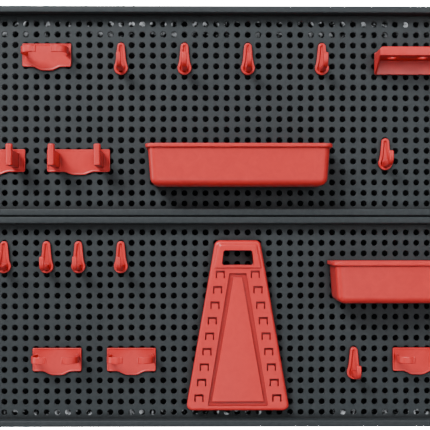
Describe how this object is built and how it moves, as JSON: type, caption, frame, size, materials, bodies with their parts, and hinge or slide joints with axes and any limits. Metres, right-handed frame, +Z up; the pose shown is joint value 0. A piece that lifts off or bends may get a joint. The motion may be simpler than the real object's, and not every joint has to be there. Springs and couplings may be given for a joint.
{
  "type": "pegboard tool wall",
  "caption": "Wide wall-mounted tool board of perforated plastic panels with hooks, spring clips, fork holders, open trays, a spanner rack and a screwdriver rack.",
  "frame": {"origin": "on the wall plane, at the middle of the back of the upper panel's lower rim", "axes": "+X to the right along the panels, +Z up, +Y into the wall; the viewer is on the -Y side"},
  "size_m": [0.935, 0.079, 0.5905],
  "materials": {
    "panel_plastic": "fine moulded texture, satin",
    "red_plastic": "smooth moulded, satin gloss",
    "screw_zinc": "zinc plated"
  },
  "bodies": {
    "wall_panels": {"panel_upper": "panel_plastic", "panel_lower": "panel_plastic", "fixing_screw_upper_1": "screw_zinc", "fixing_screw_upper_2": "screw_zinc", "fixing_screw_upper_3": "screw_zinc", "fixing_screw_upper_4": "screw_zinc", "fixing_screw_lower_1": "screw_zinc", "fixing_screw_lower_2": "screw_zinc", "fixing_screw_lower_3": "screw_zinc", "fixing_screw_lower_4": "screw_zinc"},
    "hook_upper_1": {"hook_upper_1": "red_plastic"},
    "hook_upper_2": {"hook_upper_2": "red_plastic"},
    "hook_upper_3": {"hook_upper_3": "red_plastic"},
    "hook_upper_4": {"hook_upper_4": "red_plastic"},
    "hook_upper_5": {"hook_upper_5": "red_plastic"},
    "hook_lower_1": {"hook_lower_1": "red_plastic"},
    "hook_lower_2": {"hook_lower_2": "red_plastic"},
    "hook_lower_3": {"hook_lower_3": "red_plastic"},
    "hook_lower_4": {"hook_lower_4": "red_plastic"},
    "hook_lower_5": {"hook_lower_5": "red_plastic"},
    "clip_upper": {"clip_upper": "red_plastic"},
    "clip_lower_1": {"clip_lower_1": "red_plastic"},
    "clip_lower_2": {"clip_lower_2": "red_plastic"},
    "clip_lower_3": {"clip_lower_3": "red_plastic"},
    "fork_holder_1": {"fork_holder_1": "red_plastic"},
    "fork_holder_2": {"fork_holder_2": "red_plastic"},
    "tray_upper": {"tray_upper": "red_plastic"},
    "tray_lower": {"tray_lower": "red_plastic"},
    "spanner_rack": {"spanner_rack": "red_plastic"},
    "screwdriver_rack": {"screwdriver_rack": "red_plastic"}
  },
  "joints": [
    {"name": "hook_upper_1_pull", "type": "slide", "parent": "wall_panels", "child": "hook_upper_1", "axis": [0, -1, 0], "range_m": [0, 0.03]},
    {"name": "hook_upper_2_pull", "type": "slide", "parent": "wall_panels", "child": "hook_upper_2", "axis": [0, -1, 0], "range_m": [0, 0.03]},
    {"name": "hook_upper_3_pull", "type": "slide", "parent": "wall_panels", "child": "hook_upper_3", "axis": [0, -1, 0], "range_m": [0, 0.03]},
    {"name": "hook_upper_4_pull", "type": "slide", "parent": "wall_panels", "child": "hook_upper_4", "axis": [0, -1, 0], "range_m": [0, 0.03]},
    {"name": "hook_upper_5_pull", "type": "slide", "parent": "wall_panels", "child": "hook_upper_5", "axis": [0, -1, 0], "range_m": [0, 0.03]},
    {"name": "hook_lower_1_pull", "type": "slide", "parent": "wall_panels", "child": "hook_lower_1", "axis": [0, -1, 0], "range_m": [0, 0.03]},
    {"name": "hook_lower_2_pull", "type": "slide", "parent": "wall_panels", "child": "hook_lower_2", "axis": [0, -1, 0], "range_m": [0, 0.03]},
    {"name": "hook_lower_3_pull", "type": "slide", "parent": "wall_panels", "child": "hook_lower_3", "axis": [0, -1, 0], "range_m": [0, 0.03]},
    {"name": "hook_lower_4_pull", "type": "slide", "parent": "wall_panels", "child": "hook_lower_4", "axis": [0, -1, 0], "range_m": [0, 0.03]},
    {"name": "hook_lower_5_pull", "type": "slide", "parent": "wall_panels", "child": "hook_lower_5", "axis": [0, -1, 0], "range_m": [0, 0.03]},
    {"name": "clip_upper_pull", "type": "slide", "parent": "wall_panels", "child": "clip_upper", "axis": [0, -1, 0], "range_m": [0, 0.03]},
    {"name": "clip_lower_1_pull", "type": "slide", "parent": "wall_panels", "child": "clip_lower_1", "axis": [0, -1, 0], "range_m": [0, 0.03]},
    {"name": "clip_lower_2_pull", "type": "slide", "parent": "wall_panels", "child": "clip_lower_2", "axis": [0, -1, 0], "range_m": [0, 0.03]},
    {"name": "clip_lower_3_pull", "type": "slide", "parent": "wall_panels", "child": "clip_lower_3", "axis": [0, -1, 0], "range_m": [0, 0.03]},
    {"name": "fork_holder_1_pull", "type": "slide", "parent": "wall_panels", "child": "fork_holder_1", "axis": [0, -1, 0], "range_m": [0, 0.03]},
    {"name": "fork_holder_2_pull", "type": "slide", "parent": "wall_panels", "child": "fork_holder_2", "axis": [0, -1, 0], "range_m": [0, 0.03]},
    {"name": "tray_upper_pull", "type": "slide", "parent": "wall_panels", "child": "tray_upper", "axis": [0, -1, 0], "range_m": [0, 0.03]},
    {"name": "tray_lower_pull", "type": "slide", "parent": "wall_panels", "child": "tray_lower", "axis": [0, -1, 0], "range_m": [0, 0.03]},
    {"name": "spanner_rack_pull", "type": "slide", "parent": "wall_panels", "child": "spanner_rack", "axis": [0, -1, 0], "range_m": [0, 0.03]},
    {"name": "screwdriver_rack_pull", "type": "slide", "parent": "wall_panels", "child": "screwdriver_rack", "axis": [0, -1, 0], "range_m": [0, 0.03]}
  ]
}
